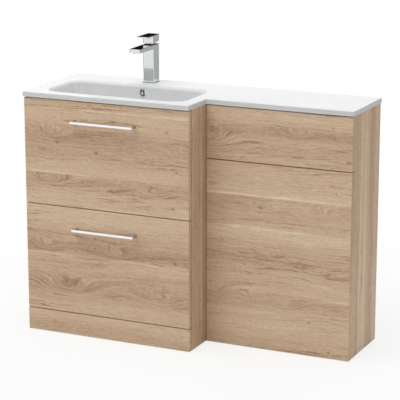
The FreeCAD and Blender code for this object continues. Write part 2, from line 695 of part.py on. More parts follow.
# Basin waste with its push plug
def waste():
    flange_floor = f"({BOWL_FLOOR} + waste_seal)"
    flange_top = f"({flange_floor} + waste_flange)"
    bore = "(waste_tube_radius - waste_tube_wall)"
    turned = new_body("waste_turning", (BOWL_X, BOWL_Y, "0"))
    profile = sketch_on(turned, "XZ_Plane", "waste_profile")
    polygon(profile, [(bore, WASTE_TAIL), ("waste_tube_radius", WASTE_TAIL),
                      ("waste_tube_radius", flange_floor), ("waste_flange_radius", flange_floor),
                      ("waste_flange_radius", flange_top), (bore, flange_top)])
    revolve(turned, "waste_turned", profile)
    slot = box("waste_slot", ("overflow_channel_depth", "2 * waste_flange_radius", "overflow_channel_depth"),
               (f"{BOWL_X} - overflow_channel_depth / 2", f"{BOWL_Y} - waste_flange_radius",
                f"{BOWL_UNDERSIDE} - overflow_channel_depth"))
    node(cut("waste_body", turned, [slot]))

    cap_floor = f"({flange_top} + running_gap)"
    cap_top = f"({cap_floor} + plug_cap)"
    stem_floor = f"({cap_floor} - plug_stem_length)"
    knob = new_body("plug_turning", (BOWL_X, BOWL_Y, "0"))
    outline = sketch_on(knob, "XZ_Plane", "plug_profile")
    polygon(outline, [("0", stem_floor), ("plug_stem_radius", stem_floor), ("plug_stem_radius", cap_floor),
                      ("plug_radius", cap_floor), ("plug_radius", f"{cap_top} - plug_dome"),
                      ("plug_radius - plug_dome_width", cap_top), ("0", cap_top)])
    revolve(knob, "plug_turned", outline)
    span = f"(2 * ({bore} - running_gap))"
    fin_x = box("plug_fin_x", (span, "plug_fin", "plug_fin_height"),
                (f"{BOWL_X} - {span} / 2", f"{BOWL_Y} - plug_fin / 2", stem_floor))
    fin_y = box("plug_fin_y", ("plug_fin", span, "plug_fin_height"),
                (f"{BOWL_X} - plug_fin / 2", f"{BOWL_Y} - {span} / 2", stem_floor))
    node(fuse("waste_plug", [knob, fin_x, fin_y]))

    nut_floor = f"{RIB_UNDERSIDE} - waste_seal - waste_backnut"
    node(cut("waste_backnut", hexagon("waste_nut_blank", "waste_backnut_radius", "waste_backnut",
                                      (BOWL_X, BOWL_Y, nut_floor)),
             [cylinder("waste_nut_bore", "waste_tube_radius + thread_gap", "waste_backnut",
                       (BOWL_X, BOWL_Y, nut_floor))]))
    seals = [ring(f"waste_seal_{name}", "waste_flange_radius - running_gap", "waste_tube_radius + thread_gap",
                  "waste_seal", (BOWL_X, BOWL_Y, floor))
             for name, floor in (("upper", BOWL_FLOOR), ("lower", f"{RIB_UNDERSIDE} - waste_seal"))]
    seals.append(ring("trap_seal", "waste_tube_radius", bore, "waste_seal", (BOWL_X, BOWL_Y, COLLAR_TOP)))
    node(group("waste_seals", seals))


# Bottle trap
def trap():
    axis = (BOWL_X, BOWL_Y)
    nut_bore = "(waste_tube_radius + running_gap)"
    node(ring("trap_inlet_nut", f"{nut_bore} + trap_nut_wall", nut_bore,
              "trap_collar + waste_seal + trap_nut_rise", (*axis, SHELL_TOP)))

    shell_height = f"({SHELL_TOP} - {SHELL_FLOOR})"
    cavity = "(trap_shell_radius - trap_wall)"
    collar = cylinder("trap_collar_blank", "waste_tube_radius", "trap_collar", (*axis, SHELL_TOP))
    shell = cylinder("trap_shell_blank", "trap_shell_radius", shell_height, (*axis, SHELL_FLOOR))
    outlet = cylinder("trap_outlet_blank", OUTLET_RADIUS, "trap_outlet_reach", (*axis, OUTLET_Z), ALONG_Y)
    inside = cylinder("trap_cavity", cavity, f"{shell_height} - trap_wall", (*axis, SHELL_FLOOR))
    outlet_bore = cylinder("trap_outlet_bore", "trap_pipe_radius - trap_wall", "trap_outlet_reach",
                           (*axis, OUTLET_Z), ALONG_Y)
    socket = cylinder("trap_socket", "trap_pipe_radius + running_gap", "trap_socket_depth",
                      (BOWL_X, f"{BOWL_Y} + trap_outlet_reach - trap_socket_depth", OUTLET_Z), ALONG_Y)
    hollow = cut("trap_hollow", fuse("trap_blank", [collar, shell, outlet]), [inside, outlet_bore, socket])
    dip_floor = f"({SHELL_FLOOR} - trap_tube_dip)"
    dip = cylinder("trap_dip_tube", "trap_tube_radius", f"{SHELL_TOP} - {dip_floor}", (*axis, dip_floor))
    inlet = cylinder("trap_inlet_bore", "trap_tube_radius - trap_wall", f"{COLLAR_TOP} - {dip_floor}",
                     (*axis, dip_floor))
    node(cut("trap_body", fuse("trap_with_dip_tube", [hollow, dip]), [inlet]))

    cup_floor = f"({SHELL_FLOOR} - trap_cup_depth)"
    cup = cylinder("trap_cup_blank", CUP_RADIUS, "trap_cup_depth + trap_cup_overlap", (*axis, cup_floor))
    seat = cylinder("trap_cup_seat", "trap_shell_radius + running_gap", "trap_cup_overlap",
                    (*axis, SHELL_FLOOR))
    well = cylinder("trap_cup_well", cavity, "trap_cup_depth - trap_wall",
                    (*axis, f"{cup_floor} + trap_wall"))
    node(cut("trap_cup", cup, [seat, well]))

    nut_start = (BOWL_X, f"{BOWL_Y} + trap_outlet_reach - trap_outlet_nut", OUTLET_Z)
    nut_length = "trap_outlet_nut + trap_outlet_lip"
    sleeve = f"({OUTLET_RADIUS} + running_gap)"
    pipe_gap = "trap_pipe_radius + running_gap"
    outlet_nut = cylinder("trap_outlet_nut_blank", f"{sleeve} + trap_nut_wall", nut_length,
                          nut_start, ALONG_Y)
    nut_seat = cylinder("trap_outlet_nut_seat", sleeve, "trap_outlet_nut", nut_start, ALONG_Y)
    pipe_way = cylinder("trap_outlet_nut_way", pipe_gap, nut_length, nut_start, ALONG_Y)
    node(cut("trap_outlet_nut", outlet_nut, [nut_seat, pipe_way]))


# Mono mixer tap: body, spout and fixings
def stands_in_front(edge):
    """True for an upright edge ahead of the tap's axis."""
    bounds = edge.BoundBox
    return bounds.XLength < TOUCH and bounds.YLength < TOUCH and bounds.YMax < 0


def tap_body():
    body = new_body("tap_casting", (TAP_X, TAP_Y, TAP_Z))
    profile = sketch_on(body, "YZ_Plane", "tap_profile")
    rear = "tap_depth / 2"
    front = "-tap_depth / 2"
    tip = "-tap_depth / 2 - spout_reach"
    underside = "tap_height - spout_fall - spout_tip"
    polygon(profile, [(rear, "0"), (rear, "tap_height"), (front, "tap_height"),
                      (tip, "tap_height - spout_fall"), (tip, underside), (front, underside), (front, "0")])
    pad(body, "tap_column", profile, "tap_width", middle=True)

    def is_small_edge(edge):
        return not (stands_in_front(edge) or lies_level(edge, 0) or lies_level(edge, number(underside)))

    fillet(body, "tap_corners", "tap_corner_radius", stands_in_front)
    fillet(body, "tap_edges", "tap_edge_radius", is_small_edge)

    axis = (TAP_X, TAP_Y)
    tools = [cylinder("tap_chamber", "cartridge_radius + running_gap", "chamber_depth",
                      (*axis, CHAMBER_FLOOR))]
    bore_start = f"{TAP_Y} - tap_depth / 2 - spout_reach + aerator_inset"
    tools.append(cylinder("tap_spout_bore", "spout_bore_radius", f"{TAP_Y} - ({bore_start})",
                          (TAP_X, bore_start, f"{TAP_TOP} - spout_fall - spout_tip / 2"), ALONG_Y))
    tools.append(cylinder("tap_aerator_seat", "aerator_radius + running_gap", "aerator_height + spout_tip",
                          (TAP_X, bore_start, f"{AERATOR_FLOOR} - spout_tip")))
    for side, sign in (("cold", "+"), ("hot", "-")):
        inlet_x = f"{TAP_X} {sign} tap_inlet_spread / 2"
        inlet_y = f"{TAP_Y} - tap_inlet_offset"
        inlet_end = f"({TAP_Z} + tap_inlet_depth)"
        tools.append(cylinder(f"tap_{side}_inlet", "tap_inlet_radius", "tap_inlet_depth",
                              (inlet_x, inlet_y, TAP_Z)))
        tools.append(cylinder(f"tap_{side}_passage", "tap_passage_radius", f"{CHAMBER_FLOOR} - {inlet_end}",
                              (inlet_x, f"{inlet_y} + tap_passage_offset", inlet_end)))
    tools.append(cylinder("tap_stud_hole", "stud_radius + thread_gap", "stud_grip",
                          (TAP_X, f"{TAP_Y} + stud_offset", TAP_Z)))
    node(cut("tap_body", body, tools))
    node(cylinder("tap_aerator", "aerator_radius", "aerator_height", (TAP_X, bore_start, AERATOR_FLOOR)))


def tap_fixings():
    plate = box("tap_gasket_blank",
                ("tap_width + 2 * tap_gasket_margin", "tap_depth + 2 * tap_gasket_margin", "tap_gasket"),
                (f"{TAP_X} - tap_width / 2 - tap_gasket_margin",
                 f"{TAP_Y} - tap_depth / 2 - tap_gasket_margin", TOP_Z))
    plate_hole = cylinder("tap_gasket_hole", "tap_hole_radius", "tap_gasket", (TAP_X, TAP_Y, TOP_Z))
    node(cut("tap_gasket", plate, [plate_hole]))

    stud_y = f"{TAP_Y} + stud_offset"
    node(cylinder("tap_stud", "stud_radius", "stud_drop + top_thickness + tap_gasket + stud_grip",
                  (TAP_X, stud_y, "carcass_height - stud_drop")))
    clamps = []
    for name, thickness, floor in (("pad", "clamp_pad", "carcass_height - clamp_pad"),
                                   ("plate", "clamp_plate", "carcass_height - clamp_pad - clamp_plate")):
        disc = cylinder(f"clamp_{name}_disc", "clamp_radius", thickness, (TAP_X, TAP_Y, floor))
        front_half = box(f"clamp_{name}_front", ("2 * clamp_radius", "clamp_radius", thickness),
                         (f"{TAP_X} - clamp_radius", f"{TAP_Y} - clamp_radius", floor))
        hole = cylinder(f"clamp_{name}_hole", "stud_radius + running_gap", thickness, (TAP_X, stud_y, floor))
        clamps.append(cut(f"clamp_{name}", disc, [front_half, hole]))
    node(group("tap_clamp_plates", clamps))
    nut_floor = "carcass_height - clamp_pad - clamp_plate - stud_nut"
    nut = hexagon("stud_nut_blank", "stud_nut_radius", "stud_nut", (TAP_X, stud_y, nut_floor))
    nut_bore = cylinder("stud_nut_bore", "stud_radius + thread_gap", "stud_nut", (TAP_X, stud_y, nut_floor))
    node(cut("tap_stud_nut", nut, [nut_bore]))


# Mono mixer tap: cartridge and lever
def tap_cartridge():
    axis = (TAP_X, TAP_Y)
    cartridge_top = f"{CHAMBER_FLOOR} + cartridge_height"
    recess = "rotor_radius + running_gap"
    blank = cylinder("cartridge_blank", "cartridge_radius", "cartridge_height", (*axis, CHAMBER_FLOOR))
    hollow = cylinder("cartridge_hollow", recess, "cartridge_recess",
                      (*axis, f"{cartridge_top} - cartridge_recess"))
    node(cut("tap_cartridge", blank, [hollow]))
    node(ring("tap_cartridge_nut", "cartridge_radius + running_gap - thread_gap", recess, "cartridge_nut",
              (*axis, cartridge_top)))

    slot_width = "(spindle_width + 2 * running_gap)"
    slot = box("rotor_slot", (slot_width, "2 * rotor_radius", "rotor_height"),
               (f"{TAP_X} - {slot_width} / 2", f"{TAP_Y} - rotor_radius",
                f"{ROTOR_FLOOR} + rotor_slot_floor"))
    pin_hole = cylinder("rotor_pin_hole", "trunnion_radius + thread_gap", "2 * rotor_radius",
                        (f"{TAP_X} - rotor_radius", TAP_Y, PIVOT_Z), ALONG_X)
    node(cut("tap_rotor", cylinder("rotor_blank", "rotor_radius", "rotor_height", (*axis, ROTOR_FLOOR)),
             [slot, pin_hole]))

    stem = box("spindle_stem", ("spindle_width", "spindle_depth", "spindle_tail + spindle_top"),
               (f"{TAP_X} - spindle_width / 2", f"{TAP_Y} - spindle_depth / 2", f"{PIVOT_Z} - spindle_tail"))
    half_pin = "(rotor_radius - ball_gap)"
    trunnion = cylinder("spindle_trunnion", "trunnion_radius", f"2 * {half_pin}",
                        (f"{TAP_X} - {half_pin}", TAP_Y, PIVOT_Z), ALONG_X)
    node(fuse("tap_spindle", [stem, trunnion]))


def tap_lever():
    body = new_body("lever_casting", (TAP_X, TAP_Y, TAP_TOP))
    profile = sketch_on(body, "YZ_Plane", "lever_profile")
    rear = "tap_depth / 2"
    front = "-tap_depth / 2"
    tip = "-tap_depth / 2 - lever_overhang"
    plate_floor = "lever_front_gap + lever_block"
    plate_top = f"{plate_floor} + lever_plate"
    polygon(profile, [(rear, "lever_rear_gap"), (rear, plate_top), (tip, plate_top), (tip, plate_floor),
                      (front, plate_floor), (front, "lever_front_gap")])
    pad(body, "lever_block_and_plate", profile, "tap_width", middle=True)
    fillet(body, "lever_corners", "tap_corner_radius", stands_in_front)
    fillet(body, "lever_edges", "tap_edge_radius",
           lambda edge: not (stands_in_front(edge) or lies_level(edge, number(plate_floor))))

    hollow_top = f"({TAP_TOP} + lever_front_gap + lever_hollow)"
    hollow = cylinder("lever_hollow_cut", "lever_hollow_radius", f"{hollow_top} - {TAP_TOP}",
                      (TAP_X, TAP_Y, TAP_TOP))
    wide = "(spindle_width + 2 * thread_gap)"
    deep = "(spindle_depth + 2 * thread_gap)"
    socket = box("lever_socket", (wide, deep, f"{SPINDLE_TOP} - {TAP_TOP}"),
                 (f"{TAP_X} - {wide} / 2", f"{TAP_Y} - {deep} / 2", TAP_TOP))
    screw_z = f"({hollow_top} + {SPINDLE_TOP}) / 2"
    screw_hole = cylinder("lever_screw_hole", "lever_screw_radius + thread_gap", "tap_depth",
                          (TAP_X, TAP_Y, screw_z), ALONG_Y)
    node(cut("tap_lever", body, [hollow, socket, screw_hole]))
    node(cylinder("tap_lever_screw", "lever_screw_radius", "lever_screw_length",
                  (TAP_X, f"{TAP_Y} + spindle_depth / 2", screw_z), ALONG_Y))


# Drawer fronts with their handles
def handle(drawer, height):
    body = new_body(f"{drawer}_handle_bar", (BOWL_X, VANITY_FACE, height))
    plan = sketch_on(body, "XY_Plane", f"{drawer}_handle_plan")
    end = "handle_length / 2"
    inner = "handle_length / 2 - handle_bar"
    front = "-handle_projection"
    rear = "-handle_projection + handle_bar_depth"
    polygon(plan, [(f"-({end})", front), (end, front), (end, "0"), (inner, "0"), (inner, rear),
                   (f"-({inner})", rear), (f"-({inner})", "0"), (f"-({end})", "0")])
    pad(body, f"{drawer}_handle_section", plan, "handle_bar", middle=True)
    holes = screw_cylinders(f"{drawer}_post_hole", "handle_screw_radius + thread_gap",
                            f"{VANITY_FACE} - handle_screw_grip", "handle_screw_grip", height)
    node(cut(f"{drawer}_drawer_handle", body, holes))


def screw_cylinders(name, radius, start, length, height):
    return [cylinder(f"{name}_{side}", radius, length,
                     (f"{BOWL_X} {sign} {HANDLE_SPACING} / 2", start, height), ALONG_Y)
            for side, sign in SIDES]


def drawer_front(drawer, floor, top, handle_z):
    blank = box(f"{drawer}_front_blank",
                ("vanity_width - 2 * front_reveal", "front_board", f"{top} - {floor}"),
                (f"{LEFT} + front_reveal", VANITY_FACE, floor))
    head_start = f"{BOX_FRONT} - handle_screw_head"
    holes = screw_cylinders(f"{drawer}_front_hole", "handle_screw_radius + running_gap",
                            VANITY_FACE, "front_board", handle_z)
    holes += screw_cylinders(f"{drawer}_front_sink", "handle_screw_head_radius + running_gap",
                             head_start, "handle_screw_head", handle_z)
    node(cut(f"{drawer}_drawer_front", blank, holes))
    handle(drawer, handle_z)
    shanks = screw_cylinders(f"{drawer}_screw_shank", "handle_screw_radius",
                             f"{VANITY_FACE} - handle_screw_grip", "handle_screw_grip + front_board",
                             handle_z)
    heads = screw_cylinders(f"{drawer}_screw_head", "handle_screw_head_radius",
                            head_start, "handle_screw_head", handle_z)
    screws = [fuse(f"{shank.Name}_and_head", [shank, head]) for shank, head in zip(shanks, heads)]
    node(group(f"{drawer}_handle_screws", screws))


# Drawer boxes
def drawer_sides(drawer, floor, height):
    size = ("drawer_board", DRAWER_LENGTH, height)
    left = box(f"{drawer}_box_left", size, (BOX_LEFT, BOX_FRONT, floor))
    right = box(f"{drawer}_box_right", size, (f"{BOX_RIGHT} - drawer_board", BOX_FRONT, floor))
    node(group(f"{drawer}_drawer_sides", [left, right]))


def upper_drawer_box():
    floor = UPPER_BOX_FLOOR
    height = "upper_drawer_height"
    drawer_sides("upper", floor, height)
    inside = f"({BOX_LEFT} + drawer_board)"
    width = f"({BOX_RIGHT} - {BOX_LEFT} - 2 * drawer_board)"
    plate = box("upper_bottom_blank", (width, DRAWER_LENGTH, "drawer_bottom"), (inside, BOX_FRONT, floor))
    gap = box("upper_bottom_gap", (f"2 * {CUTOUT_HALF}", f"{BOX_BACK} - {CUTOUT_FRONT}", "drawer_bottom"),
              (f"{BOWL_X} - {CUTOUT_HALF}", CUTOUT_FRONT, floor))
    node(cut("upper_drawer_bottom", plate, [gap]))

    stand = f"({floor} + drawer_bottom)"
    rise = f"({height} - drawer_bottom)"
    cutout_left = f"({BOWL_X} - {CUTOUT_HALF})"
    cutout_right = f"({BOWL_X} + {CUTOUT_HALF})"
    cheek = ("drawer_board", f"{BOX_BACK} - {CUTOUT_FRONT}", rise)
    surround = [box("surround_left", cheek, (f"{cutout_left} - drawer_board", CUTOUT_FRONT, stand)),
                box("surround_right", cheek, (cutout_right, CUTOUT_FRONT, stand)),
                box("surround_front", (f"2 * {CUTOUT_HALF} + 2 * drawer_board", "drawer_board", rise),
                    (f"{cutout_left} - drawer_board", f"{CUTOUT_FRONT} - drawer_board", stand))]
    node(group("upper_drawer_trap_surround", surround))
    back_width = f"({cutout_left} - drawer_board - {inside})"
    backs = [box(f"upper_back_{side}", (back_width, "drawer_board", rise),
                 (start, f"{BOX_BACK} - drawer_board", stand))
             for side, start in (("left", inside), ("right", f"{cutout_right} + drawer_board"))]
    node(group("upper_drawer_back", backs))


def lower_drawer_box():
    floor = LOWER_BOX_FLOOR
    height = "lower_drawer_height"
    drawer_sides("lower", floor, height)
    inside = f"({BOX_LEFT} + drawer_board)"
    width = f"({BOX_RIGHT} - {BOX_LEFT} - 2 * drawer_board)"
    node(box("lower_drawer_bottom", (width, DRAWER_LENGTH, "drawer_bottom"), (inside, BOX_FRONT, floor)))
    node(box("lower_drawer_back", (width, "drawer_board", f"{height} - drawer_bottom"),
             (inside, f"{BOX_BACK} - drawer_board", f"{floor} + drawer_bottom")))


# Telescopic runners, as channels that nest into each other
def runner(name, side, height, web, tip, half):
    """One channel: its web stands at one distance from the carcass side and its flanges end at another."""
    sign = "" if side == "left" else "-1 * "
    face = f"{LEFT} + board" if side == "left" else f"{SEAM} - board"
    body = new_body(f"{name}_{side}", (face, f"{VANITY_FRONT} + runner_setback", height))
    profile = sketch_on(body, "XZ_Plane", f"{name}_{side}_profile")
    fold = f"{web} + runner_sheet" if web != RUNNER_DRAWER_WEB else f"{web} - runner_sheet"
    lip = f"({half} - runner_sheet)"
    polygon(profile, [(f"{sign}({across})", up) for across, up in
                      ((web, f"-{half}"), (tip, f"-{half}"), (tip, f"-{lip}"), (fold, f"-{lip}"), (fold, lip),
                       (tip, lip), (tip, half), (web, half))])
    pad(body, f"{name}_{side}_channel", profile, RUNNER_LENGTH, reverse=True)
    return body


def runners():
    cabinet = []
    for drawer, floor in (("upper", UPPER_BOX_FLOOR), ("lower", LOWER_BOX_FLOOR)):
        height = f"{floor} + runner_lift + runner_height / 2"
        middle = []
        inner = []
        for side in ("left", "right"):
            cabinet.append(runner(f"{drawer}_cabinet_runner", side, height,
                                  "0", "runner_flange", RUNNER_HALF))
            middle.append(runner(f"{drawer}_middle_runner", side, height, RUNNER_MIDDLE_WEB,
                                 "(runner_width - 2 * ball_gap)", f"({RUNNER_HALF} - {RUNNER_STEP})"))
            inner.append(runner(f"{drawer}_inner_runner", side, height, RUNNER_DRAWER_WEB,
                                f"(2 * {RUNNER_MIDDLE_WEB})", f"({RUNNER_HALF} - 2 * {RUNNER_STEP})"))
        node(group(f"{drawer}_middle_runners", middle))
        node(group(f"{drawer}_drawer_runners", inner))
    node(group("cabinet_runners", cabinet))


vanity_carcass()
wc_carcass()
access_panel()
carcass_fittings()
basin_top()
overflow_ring()
waste()
trap()
tap_body()
tap_fixings()
tap_cartridge()
tap_lever()
drawer_front("upper", UPPER_FRONT_FLOOR, FRONT_TOP, UPPER_HANDLE_Z)
drawer_front("lower", LOWER_FRONT_FLOOR, LOWER_FRONT_TOP, LOWER_HANDLE_Z)
upper_drawer_box()
lower_drawer_box()
runners()
doc.recompute()

for thing in doc.Objects:
    if "Invalid" in thing.State or "Error" in thing.State:
        raise RuntimeError(f"{thing.Label} did not compute: {thing.State}")
os.makedirs("parts", exist_ok=True)
for piece in nodes:
    shape = piece.Shape
    if shape.isNull() or not shape.isValid() or not shape.Solids:
        raise RuntimeError(f"{piece.Label} has no valid solid")
    shape.exportStep(f"parts/{piece.Label}.step")
print(len(nodes), "sub-parts written")
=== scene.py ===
"""Looks for the basin vanity and WC unit: finishes, floor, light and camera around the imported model.

Metres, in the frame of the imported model: X along the wall, Y to the wall, Z up.
"""
import bpy
import json
import math
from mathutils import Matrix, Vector


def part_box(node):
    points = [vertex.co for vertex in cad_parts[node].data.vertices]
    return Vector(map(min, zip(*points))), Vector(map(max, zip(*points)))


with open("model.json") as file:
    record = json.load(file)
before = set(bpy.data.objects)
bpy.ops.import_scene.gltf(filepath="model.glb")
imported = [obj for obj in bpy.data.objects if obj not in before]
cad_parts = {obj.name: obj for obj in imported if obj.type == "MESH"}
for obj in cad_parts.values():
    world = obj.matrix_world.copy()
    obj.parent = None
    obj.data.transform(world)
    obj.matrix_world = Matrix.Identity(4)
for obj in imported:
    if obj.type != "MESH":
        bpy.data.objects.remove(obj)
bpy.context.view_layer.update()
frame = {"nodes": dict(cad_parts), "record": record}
nodes = frame["nodes"]
scene = bpy.context.scene


def srgb(red, green, blue):
    """A colour as it is seen on screen, 0 to 255, as the linear colour that shaders take."""
    def linear(part):
        share = part / 255
        return share / 12.92 if share <= 0.04045 else ((share + 0.055) / 1.055) ** 2.4
    return (linear(red), linear(green), linear(blue), 1.0)


class Graph:
    """A material's node tree in short form: each call adds one node and gives its output."""

    def __init__(self, name):
        self.material = bpy.data.materials.new(name)
        self.material.use_nodes = True
        self.tree = self.material.node_tree
        self.tree.nodes.clear()
        self.place = self.add("ShaderNodeTexCoord")

    def add(self, kind, inputs=None, **settings):
        made = self.tree.nodes.new(kind)
        for key, value in settings.items():
            setattr(made, key, value)
        for key, value in (inputs or {}).items():
            self.feed(made.inputs[key], value)
        return made

    def feed(self, socket, value):
        if isinstance(value, bpy.types.NodeSocket):
            self.tree.links.new(value, socket)
        else:
            socket.default_value = value

    def math(self, operation, *values):
        made = self.add("ShaderNodeMath", operation=operation)
        for socket, value in zip(made.inputs, values):
            self.feed(socket, value)
        return made.outputs[0]

    def total(self, *values):
        result = values[0]
        for value in values[1:]:
            result = self.math("ADD", result, value)
        return result

    def swing(self, value, amount):
        """A value of 0 to 1, made to swing by an amount to either side of 0."""
        return self.math("MULTIPLY", self.math("SUBTRACT", value, 0.5), 2 * amount)

    def choose(self, factor, first, second):
        made = self.add("ShaderNodeMix", {"Factor": factor, "A": first, "B": second})
        return made.outputs["Result"]

    def blend(self, factor, first, second, kind="MIX"):
        made = self.add("ShaderNodeMix", data_type="RGBA", blend_type=kind)
        for socket, value in ((made.inputs[0], factor), (made.inputs[6], first), (made.inputs[7], second)):
            self.feed(socket, value)
        return made.outputs[2]

    def split(self, vector):
        return self.add("ShaderNodeSeparateXYZ", {"Vector": vector}).outputs[:3]

    def join(self, *parts):
        return self.add("ShaderNodeCombineXYZ", dict(zip("XYZ", parts))).outputs[0]

    def noise(self, vector, scale=1.0, detail=2.0, roughness=0.5):
        settings = {"Vector": vector, "Scale": scale, "Detail": detail, "Roughness": roughness}
        return self.add("ShaderNodeTexNoise", settings).outputs["Fac"]

    def fit(self, value, low, high, to_low=0.0, to_high=1.0, smooth=False):
        """Map a range of values onto another, held at the ends."""
        made = self.add("ShaderNodeMapRange", interpolation_type="SMOOTHSTEP" if smooth else "LINEAR")
        for socket, part in zip(made.inputs, (value, low, high, to_low, to_high)):
            self.feed(socket, part)
        return made.outputs[0]

    def spread(self, noise, low, high):
        """Noise, most of which lies between 0.3 and 0.7, mapped onto a range."""
        return self.fit(noise, 0.3, 0.7, low, high)

    def drawn_noise(self, *scales):
        """Noise drawn out along an axis; the scales are features to the metre along X, Y and Z."""
        parts = self.split(self.place.outputs["Object"])
        drawn = [self.math("MULTIPLY", part, scale) for part, scale in zip(parts, scales)]
        return self.noise(self.join(*drawn), detail=3.0)

    def ramp(self, value, stops, interpolation="LINEAR"):
        """Colours, or plain levels of grey, by where a value lies between 0 and 1."""
        made = self.add("ShaderNodeValToRGB", {"Fac": value})
        band = made.color_ramp
        band.interpolation = interpolation
        while len(band.elements) < len(stops):
            band.elements.new(0.5)
        for element, (where, colour) in zip(band.elements, stops):
            element.position = where
            element.color = colour if isinstance(colour, tuple) else (colour, colour, colour, 1.0)
        return made.outputs["Color"]

    def bump(self, height, strength, distance):
        settings = {"Height": height, "Strength": strength, "Distance": distance}
        return self.add("ShaderNodeBump", settings).outputs["Normal"]

    def surface(self, inputs):
        shader = self.add("ShaderNodeBsdfPrincipled", inputs)
        self.add("ShaderNodeOutputMaterial", {"Surface": shader.outputs[0]})
        return self.material


# Oak laminate: its colours from dark to pale, by a level of 0 to 1
OAK_COLOURS = [(0.0, srgb(163, 131, 105)), (0.25, srgb(189, 158, 129)), (0.5, srgb(210, 182, 153)),
               (0.75, srgb(221, 197, 167)), (1.0, srgb(236, 220, 188))]
ROSY_TINT = (1.0, 0.985, 0.965, 1.0)

# What each kind of mark adds to the level, to either side for a swing
GROWTH_SWING = 0.25
FIBRE_SWING = 0.40
SPECKLE_SWING = 0.32
LINE_LEVEL = -0.50
PORE_LEVEL = -0.14
END_LEVEL = -0.14
KNOT_LEVEL = -0.60
SEAM_LEVEL = 0.32

# The print's layers: place in the noise, features to the metre along and across the grain, and detail
OAK_LAYERS = {
    "growth": (3.0, 2.0, 70.0, 4.0),
    "fibre": (5.0, 14.0, 380.0, 3.0),
    "speckle": (7.0, 70.0, 300.0, 2.0),
    "contour": (11.0, 1.6, 46.0, 2.0),
    "figure": (13.0, 2.2, 12.0, 1.0),
    "breaks": (17.0, 24.0, 110.0, 2.0),
    "pores": (19.0, 45.0, 900.0, 1.0),
    "rosiness": (23.0, 1.6, 16.0, 2.0),
}

# Steps in the noise from board to board and from plank to plank, so that no two look alike
BOARD_STEP = 1.7
PLANK_STEP = 6.1
PLANK_SHARE = 0.1

# Bends of the grain in metres, and the shapes of swirls and knots as shares of their size
SWAY = 0.030
RIPPLE = 0.0050
SWIRL_LENGTH = 3.0
SWIRL_BEND = 1.5
KNOT_LENGTH = 1.5

# A seam's pale streak in metres: its fade upward, its crisp lower edge and half the taper at its ends
SEAM_FADE = 0.010
SEAM_EDGE = 0.0015
SEAM_TAPER = 0.03


def grain_places(graph, grain):
    """Places along and across the grain, on faces and on banded edges, and 1 where the grain ends."""
    x, y, z = graph.split(graph.place.outputs["Object"])
    faces_x, faces_y, faces_z = [graph.math("GREATER_THAN", graph.math("ABSOLUTE", part), 0.7)
                                 for part in graph.split(graph.place.outputs["Normal"])]
    if grain == "level":
        along = graph.choose(faces_x, x, z)
        across = graph.choose(graph.math("MAXIMUM", faces_x, faces_z), z, y)
        ends = faces_x
    else:
        along = graph.choose(faces_z, z, y)
        across = graph.choose(graph.math("MAXIMUM", faces_y, faces_z), y, x)
        ends = faces_z
    return along, across, ends


def streaks(graph, along, across, layer, along_scale, across_scale, detail):
    """Noise drawn out along the grain; the scales are features to the metre."""
    where = graph.join(graph.math("MULTIPLY", along, along_scale),
                       graph.math("MULTIPLY", across, across_scale), layer)
    return graph.noise(where, 1.0, detail, 0.6)


def bell(graph, along, across, place, length, width):
    """1 at a place on the board, falling softly to 0 around it."""
    far = graph.math("DIVIDE", graph.math("SUBTRACT", along, place[0]), length)
    near = graph.math("DIVIDE", graph.math("SUBTRACT", across, place[1]), width)
    squared = graph.math("MULTIPLY_ADD", far, far, graph.math("MULTIPLY", near, near))
    return graph.math("EXPONENT", graph.math("MULTIPLY", squared, -1.0))


def pale_streak(graph, along, across, seam):
    """A pale line on the upper edge of a plank seam, crisp below and fading upward and at its ends."""
    place, start, end = seam
    above = graph.fit(across, place, place + SEAM_FADE, 1.0, 0.0)
    below = graph.fit(across, place - SEAM_EDGE, place)
    begins = graph.fit(along, start - SEAM_TAPER, start + SEAM_TAPER, smooth=True)
    ends = graph.fit(along, end - SEAM_TAPER, end + SEAM_TAPER, 1.0, 0.0, smooth=True)
    return graph.math("MULTIPLY", graph.math("MULTIPLY", above, below), graph.math("MULTIPLY", begins, ends))


